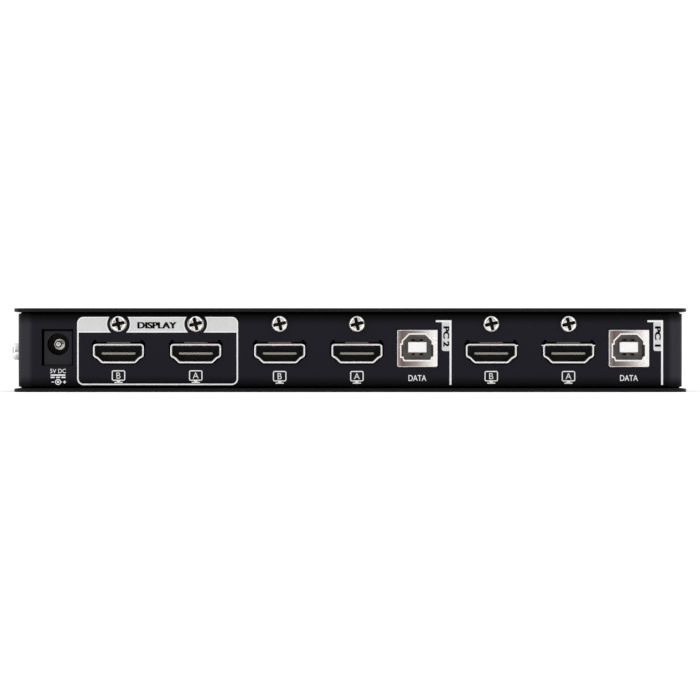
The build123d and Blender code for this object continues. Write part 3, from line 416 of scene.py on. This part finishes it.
def make_materials():
    return {
        "case_paint": case_paint(),
        "bezel_plastic": bezel_plastic(),
        "button_plastic": button_plastic(),
        "socket_metal": socket_metal(),
        "video_tongue_plastic": video_tongue_plastic(),
        "data_tongue_plastic": moulded("data_tongue_plastic", (0.90, 0.90, 0.89), 0.45, depth_mm=0.003),
        "contact_gold": plain_metal("contact_gold", (0.86, 0.62, 0.28), 0.28),
        "jack_plastic": moulded("jack_plastic", (0.013, 0.012, 0.016), 0.4, specular=0.2),
        "pin_metal": plain_metal("pin_metal", (0.62, 0.60, 0.58), 0.13),
        "spring_steel": plain_metal("spring_steel", (0.62, 0.61, 0.60), 0.3),
        "plunger_plastic": moulded("plunger_plastic", (0.02, 0.02, 0.022), 0.45),
        "chip_plastic": moulded("chip_plastic", (0.018, 0.018, 0.018), 0.6),
        "clear_plastic": clear_plastic(),
        "lamp_plastic": moulded("lamp_plastic", (0.85, 0.80, 0.55), 0.3),
        "board_laminate": board_laminate(),
        "sink_aluminium": plain_metal("sink_aluminium", (0.05, 0.05, 0.055), 0.42),
        "can_metal": plain_metal("can_metal", (0.74, 0.74, 0.75), 0.3),
        "standoff_brass": plain_metal("standoff_brass", (0.75, 0.56, 0.27), 0.3),
        "screw_metal": screw_metal(),
        "black_screw_metal": plain_metal("black_screw_metal", (0.035, 0.035, 0.037), 0.4),
    }


def dress_nodes(materials):
    """Give each CAD node the finish that the record names for it, or its own version of that."""
    painted, flared = wall_paint(), video_metal()
    # the walls carry painted shade near the plates and a painted highlight down the upright corners
    own = {"rear_wall": painted, "side_walls": painted}
    # lock screws get painted shade in their driver recesses
    own["lock_screws"] = screw_metal("screw_metal_lock", in_lock_recess)
    for name in VIDEO_GROUPS:
        own[f"{name}_port_shell"] = flared
    for name in DATA_GROUPS:
        own[f"{name}_port_shell"] = data_metal(f"{name}_port_shell")
        # the data contacts are a darker copy of the gold: painted shade deep in the socket
        own[f"{name}_port_contacts"] = plain_metal(f"{name}_contact", (0.30, 0.17, 0.09), 0.35)
    for part in frame["record"]["subparts"]:
        mesh = frame["nodes"][part["node"]].data
        mesh.materials.clear()
        mesh.materials.append(own.get(part["node"], materials[part["material_slot"]]))


# ================================================================ flat shapes, in mm
def arc(cx, cy, radius, start, end, steps=12):
    """Points along an arc; angles in degrees, anticlockwise from the right."""
    points = []
    for i in range(steps + 1):
        angle = math.radians(start + (end - start) * i / steps)
        points.append((cx + radius * math.cos(angle), cy + radius * math.sin(angle)))
    return points


def rounded(x0, x1, y0, y1, radius):
    return (
        arc(x1 - radius, y1 - radius, radius, 0, 90)
        + arc(x0 + radius, y1 - radius, radius, 90, 180)
        + arc(x0 + radius, y0 + radius, radius, 180, 270)
        + arc(x1 - radius, y0 + radius, radius, 270, 360)
    )


def bar(x0, x1, y0, y1):
    return [(x0, y0), (x1, y0), (x1, y1), (x0, y1)]


def circle(cx, cy, radius, steps=32):
    return arc(cx, cy, radius, 0, 360 * (steps - 1) / steps, steps - 1)


# ================================================================ printing
INK = 0.02  # thickness of one coat
COAT_SINK = 0.4  # a coat's middle is its number less this, times the thickness, off the wall


def front_plane(y):
    """Turns x across and y up, drawn flat, into x and z on an upright plane that faces the front."""
    return Matrix(((1, 0, 0, 0), (0, 0, -1, y), (0, 1, 0, 0), (0, 0, 0, 1)))


REAR = Matrix(((-1, 0, 0, 0), (0, 0, 1, REAR_Y), (0, 1, 0, 0), (0, 0, 0, 1)))
FRONT = front_plane(FRONT_Y)


def settle(obj, wall, coat, material, body):
    """Turn a flat curve or text, drawn in mm, into a mesh lying on a wall."""
    lift = INK * (coat - COAT_SINK)
    graph = bpy.context.evaluated_depsgraph_get()
    mesh = bpy.data.meshes.new_from_object(obj.evaluated_get(graph))
    mesh.transform(Matrix.Scale(MM, 4) @ wall @ Matrix.Translation((0, 0, lift)))
    name = obj.name
    bpy.data.objects.remove(obj)
    mesh.materials.clear()
    mesh.materials.append(material)
    piece = bpy.data.objects.new(name, mesh)
    bpy.context.scene.collection.objects.link(piece)
    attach(piece, body)


def printed(name, loops, wall, material):
    """Flat ink inside the outer loops and outside the loops nested in them."""
    curve = bpy.data.curves.new(name, "CURVE")
    curve.dimensions = "2D"
    curve.fill_mode = "BOTH"
    curve.extrude = INK / 2
    for loop in loops:
        spline = curve.splines.new("POLY")
        spline.points.add(len(loop) - 1)
        for point, (x, y) in zip(spline.points, loop):
            point.co = (x, y, 0, 1)
        spline.use_cyclic_u = True
    obj = bpy.data.objects.new(name, curve)
    bpy.context.scene.collection.objects.link(obj)
    settle(obj, wall, 1, material, CASE)


def lettered(name, words, cx, cy, cap, wall, material, bold, coat=1, turn=0.0, width=None, body=CASE):
    """Words centred on a point, with capitals cap mm tall, stretched to a width if one is given."""
    text = bpy.data.curves.new(name, "FONT")
    text.body = words
    text.offset = bold
    text.align_x = "LEFT"
    obj = bpy.data.objects.new(name, text)
    bpy.context.scene.collection.objects.link(obj)
    bpy.context.view_layer.update()
    corners = [Vector(c) for c in obj.bound_box]
    x0, x1 = min(c.x for c in corners), max(c.x for c in corners)
    y0, y1 = min(c.y for c in corners), max(c.y for c in corners)
    tall = cap / (y1 - y0)
    wide = tall if width is None else width / (x1 - x0)
    centre = Matrix.Translation((-(x0 + x1) / 2, -(y0 + y1) / 2, 0))
    text.extrude = INK / 2
    place = (
        Matrix.Translation((cx, cy, 0))
        @ Matrix.Rotation(math.radians(turn), 4, "Z")
        @ Matrix.Diagonal((wide, tall, 1, 1))
        @ centre
    )
    settle(obj, wall @ place, coat, material, body)


WHITE = ink("ink_white", (0.84, 0.84, 0.84))
GREY = ink("ink_grey", (0.64, 0.64, 0.64))
BLACK = ink("ink_black", (0.006, 0.006, 0.007))

FRAME_TOP, FRAME_BOTTOM = 22.4, 2.1
BAR_BOTTOM = 17.75
FRAME_LINE = 0.42
FRAME_R = 1.9
FRAME_PAST_LEFT, FRAME_PAST_RIGHT = 12.3, 12.6  # from the outer sockets' middles to the frame's sides
TITLE_RIM = 0.32  # white line round the grey title bar
TITLE_Z, TITLE_CAP, TITLE_WIDE = 19.9, 1.95, 11.5
LOCK_Z = 20.3
LOCK_CLEAR_R = 3.4
LINE_BOTTOM = 2.15
TAG_TOP, TAG_BOTTOM = 21.4, 12.25
TAG_RIGHT = 10.15  # from a data socket's middle to the right of its computer's line


def title_piece(left, right, inset, left_screw=None, right_screw=None):
    """One stretch of the title bar. An end is a rounded corner, or follows a screw's clear circle."""
    top, bottom = FRAME_TOP - inset, BAR_BOTTOM + inset
    clear = LOCK_CLEAR_R + inset
    high = math.degrees(math.asin((top - LOCK_Z) / clear))
    low = math.degrees(math.asin((bottom - LOCK_Z) / clear))
    loop = []
    if left_screw is None:
        radius = FRAME_R - inset
        corner = arc(left + inset + radius, top - radius, radius, 180, 90)
        loop += [(left + inset, bottom)] + corner
    else:
        loop += arc(left_screw, LOCK_Z, clear, low, high)
    if right_screw is None:
        radius = FRAME_R - inset
        corner = arc(right - inset - radius, top - radius, radius, 90, 0)
        loop += corner + [(right - inset, bottom)]
    else:
        loop += arc(right_screw, LOCK_Z, clear, 180 - high, 180 - low)
    return loop


def monitor_frame():
    """Box round the two monitor sockets, with a title bar cleared round their lock screws."""
    screws = [across(f"{name}_port_shell") for name in MONITOR_GROUPS]
    left, right = screws[0] - FRAME_PAST_LEFT, screws[1] + FRAME_PAST_RIGHT
    stretches = (
        ("left", (left, None), (None, screws[0])),
        ("middle", (None, screws[0]), (None, screws[1])),
        ("right", (None, screws[1]), (right, None)),
    )
    for name, (start, start_screw), (end, end_screw) in stretches:
        shape = dict(left_screw=start_screw, right_screw=end_screw)
        rim = title_piece(start, end, 0.0, **shape)
        field = title_piece(start, end, TITLE_RIM, **shape)
        printed(f"print_title_rim_{name}", [rim, field], REAR, WHITE)
        printed(f"print_title_field_{name}", [field], REAR, GREY)
    outer = (
        [(left, BAR_BOTTOM)]
        + arc(left + FRAME_R, FRAME_BOTTOM + FRAME_R, FRAME_R, 180, 270)
        + arc(right - FRAME_R, FRAME_BOTTOM + FRAME_R, FRAME_R, 270, 360)
        + [(right, BAR_BOTTOM)]
    )
    radius = FRAME_R - FRAME_LINE
    inner = (
        [(right - FRAME_LINE, BAR_BOTTOM)]
        + arc(right - FRAME_R, FRAME_BOTTOM + FRAME_R, radius, 360, 270)
        + arc(left + FRAME_R, FRAME_BOTTOM + FRAME_R, radius, 270, 180)
        + [(left + FRAME_LINE, BAR_BOTTOM)]
    )
    printed("print_monitor_frame", [outer + inner], REAR, WHITE)
    title_u = (screws[0] + screws[1]) / 2
    for name, step in (("left", -0.13), ("middle", 0.0), ("right", 0.13)):
        lettered(f"print_title_{name}", "DISPLAY", title_u + step, TITLE_Z, TITLE_CAP,
                 REAR, BLACK, bold=0.02, coat=2, width=TITLE_WIDE)


def monitor_mark(name, letter, u, top):
    """Outline of a monitor on its stand, with a letter in it."""
    wide, tall, line = 4.0, 3.1, 0.3
    x0, x1, y0 = u - wide / 2, u + wide / 2, top - tall
    screen = rounded(x0, x1, y0, top, 0.55)
    glass = rounded(x0 + line, x1 - line, y0 + line, top - line, 0.2)
    printed(f"print_screen_{name}", [screen, glass], REAR, WHITE)
    neck = [(u - 0.42, y0), (u + 0.42, y0), (u + 0.6, y0 - 0.42), (u - 0.6, y0 - 0.42)]
    foot = bar(u - 1.2, u + 1.2, y0 - 0.68, y0 - 0.36)
    printed(f"print_stand_{name}", [neck[::-1]], REAR, WHITE)
    printed(f"print_foot_{name}", [foot], REAR, WHITE)
    lettered(f"print_letter_{name}", letter, u, top - tall / 2, 1.8, REAR, WHITE, bold=-0.008)


def pc_bracket(number, right):
    """Tall line with a tag at its top, which names one computer's sockets."""
    line, tag, tick_line, radius = 0.56, 2.85, 0.55, 0.65
    tag_left, field_top = right - tag, TAG_TOP - tick_line
    printed(f"print_line_{number}", [bar(right - line, right, LINE_BOTTOM, TAG_TOP)], REAR, WHITE)
    tick = bar(tag_left - 1.8, right - line, field_top, TAG_TOP)
    printed(f"print_tick_{number}", [tick], REAR, WHITE)
    field = (
        arc(tag_left + radius, TAG_BOTTOM + radius, radius, 180, 270)
        + [(right - line, TAG_BOTTOM), (right - line, field_top), (tag_left, field_top)]
    )
    printed(f"print_tag_{number}", [field], REAR, GREY)
    name_u, middle = right - tag / 2 - 0.12, (field_top + TAG_BOTTOM) / 2
    for name, step in (("low", -0.1), ("middle", 0.0), ("high", 0.1)):
        lettered(f"print_tag_name_{number}_{name}", f"PC {number}", name_u, middle + step, 1.8,
                 REAR, BLACK, bold=0.025, coat=3, turn=-90, width=5.9)


def power_mark():
    """Voltage, the direct-current sign and the plug's polarity, under the power socket."""
    u = across("power_socket_housing")
    lettered("print_voltage", "5V DC", u, 6.3, 1.25, REAR, WHITE, bold=0.0, width=4.7)
    printed("print_dc_line", [bar(u - 2.2, u + 2.2, 4.88, 5.28)], REAR, WHITE)
    for i in (-1, 0, 1):
        x = u + i * 1.62
        printed(f"print_dc_dash_{i + 2}", [bar(x - 0.58, x + 0.58, 4.2, 4.6)], REAR, WHITE)
    z = 3.02
    printed("print_pole_ring", [circle(u, z, 0.88), circle(u, z, 0.6)], REAR, WHITE)
    printed("print_pole_dot", [circle(u, z, 0.34)], REAR, WHITE)
    printed("print_pole_minus", [bar(u - 1.9, u - 1.15, z - 0.12, z + 0.12)], REAR, WHITE)
    printed("print_pole_link", [bar(u + 0.86, u + 1.15, z - 0.12, z + 0.12)], REAR, WHITE)
    printed("print_pole_plus", [bar(u + 1.5, u + 2.4, z - 0.13, z + 0.13)], REAR, WHITE)
    for name, low, high in (("top", z + 0.13, z + 0.45), ("bottom", z - 0.45, z - 0.13)):
        printed(f"print_pole_plus_{name}", [bar(u + 1.82, u + 2.08, low, high)], REAR, WHITE)


def rear_marks():
    monitor_frame()
    for name in VIDEO_GROUPS:
        top = 6.5 if name in MONITOR_GROUPS else 6.3
        monitor_mark(name, name[-1].upper(), across(f"{name}_port_shell"), top)
    for name in DATA_GROUPS:
        u = across(f"{name}_port_shell")
        lettered(f"print_{name}", "DATA", u, 4.2, 1.75, REAR, WHITE, bold=0.004, width=5.3)
    for number in (2, 1):
        pc_bracket(number, across(f"pc{number}_data_port_shell") + TAG_RIGHT)
    power_mark()


# ================================================================ front marks
FRONT_MARK_Z = 18.0
KEYS, KEY_PITCH = 5, 0.85


def keyboard_mark(x, z):
    outline = rounded(x - 2.7, x + 2.7, z - 1.2, z + 1.2, 0.4)
    inside = rounded(x - 2.4, x + 2.4, z - 0.9, z + 0.9, 0.2)
    printed("print_keyboard", [outline, inside], FRONT, WHITE)
    for tag, row in (("high", 0.45), ("low", -0.1)):
        for i in range(KEYS):
            kx = x + (i - (KEYS - 1) / 2) * KEY_PITCH
            key = bar(kx - 0.22, kx + 0.22, z + row - 0.13, z + row + 0.13)
            printed(f"print_key_{tag}_{i}", [key], FRONT, WHITE)
    space = bar(x - 1.3, x + 1.3, z - 0.66, z - 0.4)
    printed("print_key_space", [space], FRONT, WHITE)


def mouse_mark(x, z):
    outline = rounded(x - 0.95, x + 0.95, z - 1.5, z + 1.5, 0.94)
    inside = rounded(x - 0.67, x + 0.67, z - 1.22, z + 1.22, 0.66)
    wheel = bar(x - 0.14, x + 0.14, z + 0.35, z + 0.95)
    printed("print_mouse", [outline, inside], FRONT, WHITE)
    printed("print_mouse_wheel", [wheel], FRONT, WHITE)


def sound_mark(x, z):
    """Headphones: a band over two ear cups."""
    band = arc(x, z - 0.2, 1.5, 0, 180, 24) + arc(x, z - 0.2, 1.22, 180, 0, 24)
    printed("print_headphone_band", [band], FRONT, WHITE)
    for side, name in ((-1, "left"), (1, "right")):
        cup_x = x + side * 1.28
        cup = rounded(cup_x - 0.34, cup_x + 0.34, z - 1.25, z - 0.1, 0.2)
        printed(f"print_headphone_{name}", [cup], FRONT, WHITE)


def front_marks():
    keyboard_mark(middle_x("keyboard_port_shell"), FRONT_MARK_Z)
    mouse_mark(middle_x("mouse_port_shell"), FRONT_MARK_Z)
    sound_mark(middle_x("sound_socket_housing"), FRONT_MARK_Z)
    for number in (1, 2):
        low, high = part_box(f"select_button_{number}")
        wall = front_plane(low.y / MM)
        x, z = (low.x + high.x) / 2 / MM, (low.z + high.z) / 2 / MM
        body = f"button_{number}"
        lettered(f"print_button_{number}", str(number), x, z, 2.6, wall, WHITE, bold=0.02, body=body)


# ================================================================ stage, light and camera
FILL = 0.96  # share of the picture's width that the plates take
VIEW_WIDTH = WIDTH / FILL  # what the picture's width spans where the plates are widest, in mm
CORNER_BACK = 5.3  # the plates are widest this far in front of their rear edge, in mm
DISTANCE = 1.6  # from the camera to the plates' rear edge, in m
SENSOR = 36.0
ASIDE, ABOVE = 0.06, 0.045  # how far the camera is off the box's middle, in mm
SKY_LOW, SKY_HIGH = 0.14, 1.25
BOX_GLOW = 1.3  # radiance of each softbox
BOX_AROUND, BOX_UP, BOX_AWAY = 42, 16, 1.2  # degrees round, degrees up and m from the box
BOX_WIDE, BOX_TALL = 0.7, 1.0
FLOOR_HALF, DOME_R = 6.0, 5.8


def camera():
    data = bpy.data.cameras.new("camera")
    data.sensor_width = SENSOR
    data.lens = SENSOR * (DISTANCE + CORNER_BACK * MM) / (VIEW_WIDTH * MM)
    data.clip_start = 0.01
    data.clip_end = 50
    obj = bpy.data.objects.new("camera", data)
    bpy.context.scene.collection.objects.link(obj)
    obj.location = (ASIDE * MM, CASE_HIGH.y + DISTANCE, (MIDDLE_Z + ABOVE) * MM)
    obj.rotation_euler = (math.radians(90), 0, math.radians(180))
    bpy.context.scene.camera = obj


def softbox(name, azimuth):
    """A soft light that faces the object. Azimuth 0 is straight out from the rear wall."""
    turn, rise = math.radians(azimuth), math.radians(BOX_UP)
    aim = Vector((0, 0, MIDDLE_Z * MM))
    away = Vector((-math.sin(turn) * math.cos(rise), math.cos(turn) * math.cos(rise), math.sin(rise)))
    data = bpy.data.lights.new(name, "AREA")
    data.shape = "RECTANGLE"
    data.size, data.size_y = BOX_WIDE, BOX_TALL
    data.energy = BOX_GLOW * math.pi * BOX_WIDE * BOX_TALL
    obj = bpy.data.objects.new(name, data)
    bpy.context.scene.collection.objects.link(obj)
    obj.location = aim + BOX_AWAY * away
    obj.rotation_euler = (-away).to_track_quat("-Z", "Y").to_euler()
    obj.visible_camera = False


def sky():
    """Dim all round at table height and bright overhead, the same in every direction."""
    world = bpy.data.worlds.new("studio")
    bpy.context.scene.world = world
    world.use_nodes = True
    tree = world.node_tree
    place = tree.nodes.new("ShaderNodeTexCoord")
    axes = tree.nodes.new("ShaderNodeSeparateXYZ")
    rise = tree.nodes.new("ShaderNodeMapRange")
    rise.inputs["To Min"].default_value = SKY_LOW
    rise.inputs["To Max"].default_value = SKY_HIGH
    tree.links.new(place.outputs["Generated"], axes.inputs["Vector"])
    tree.links.new(axes.outputs["Z"], rise.inputs["Value"])
    background = tree.nodes["Background"]
    background.inputs["Color"].default_value = (1, 1, 1, 1)
    tree.links.new(rise.outputs["Result"], background.inputs["Strength"])


def stage_piece(name, mesh, finish):
    mesh.materials.append(finish.material)
    obj = bpy.data.objects.new(name, mesh)
    bpy.context.scene.collection.objects.link(obj)
    return obj


def floor():
    mesh = bpy.data.meshes.new("floor")
    corners = [(x, y, 0) for x, y in bar(-FLOOR_HALF, FLOOR_HALF, -FLOOR_HALF, FLOOR_HALF)]
    mesh.from_pydata(corners, [], [(0, 1, 2, 3)])
    finish = Finish("floor_white", (0.92, 0.92, 0.92), 0.9, specular=0.0)
    finish.set("Emission Color", (1, 1, 1, 1))
    finish.set("Emission Strength", 0.25)
    stage_piece("floor", mesh, finish)


def backdrop():
    """White dome that shows behind the object and neither lights it nor shows in its metal."""
    mesh = bpy.data.meshes.new("backdrop")
    shape = bmesh.new()
    bmesh.ops.create_uvsphere(shape, u_segments=48, v_segments=24, radius=DOME_R)
    shape.to_mesh(mesh)
    shape.free()
    finish = Finish("backdrop_white", (0, 0, 0), 1.0, specular=0.0)
    finish.set("Emission Color", (1, 1, 1, 1))
    finish.set("Emission Strength", 1.05)
    obj = stage_piece("backdrop", mesh, finish)
    obj.visible_diffuse = False
    obj.visible_glossy = False
    obj.visible_transmission = False
    obj.visible_shadow = False


def studio():
    sky()
    for name, azimuth in (("rear", 0), ("front", 180)):
        softbox(f"softbox_{name}_left", azimuth - BOX_AROUND)
        softbox(f"softbox_{name}_right", azimuth + BOX_AROUND)


dress_nodes(make_materials())
rear_marks()
front_marks()
floor()
backdrop()
studio()
camera()
bpy.context.scene.view_settings.view_transform = "Standard"
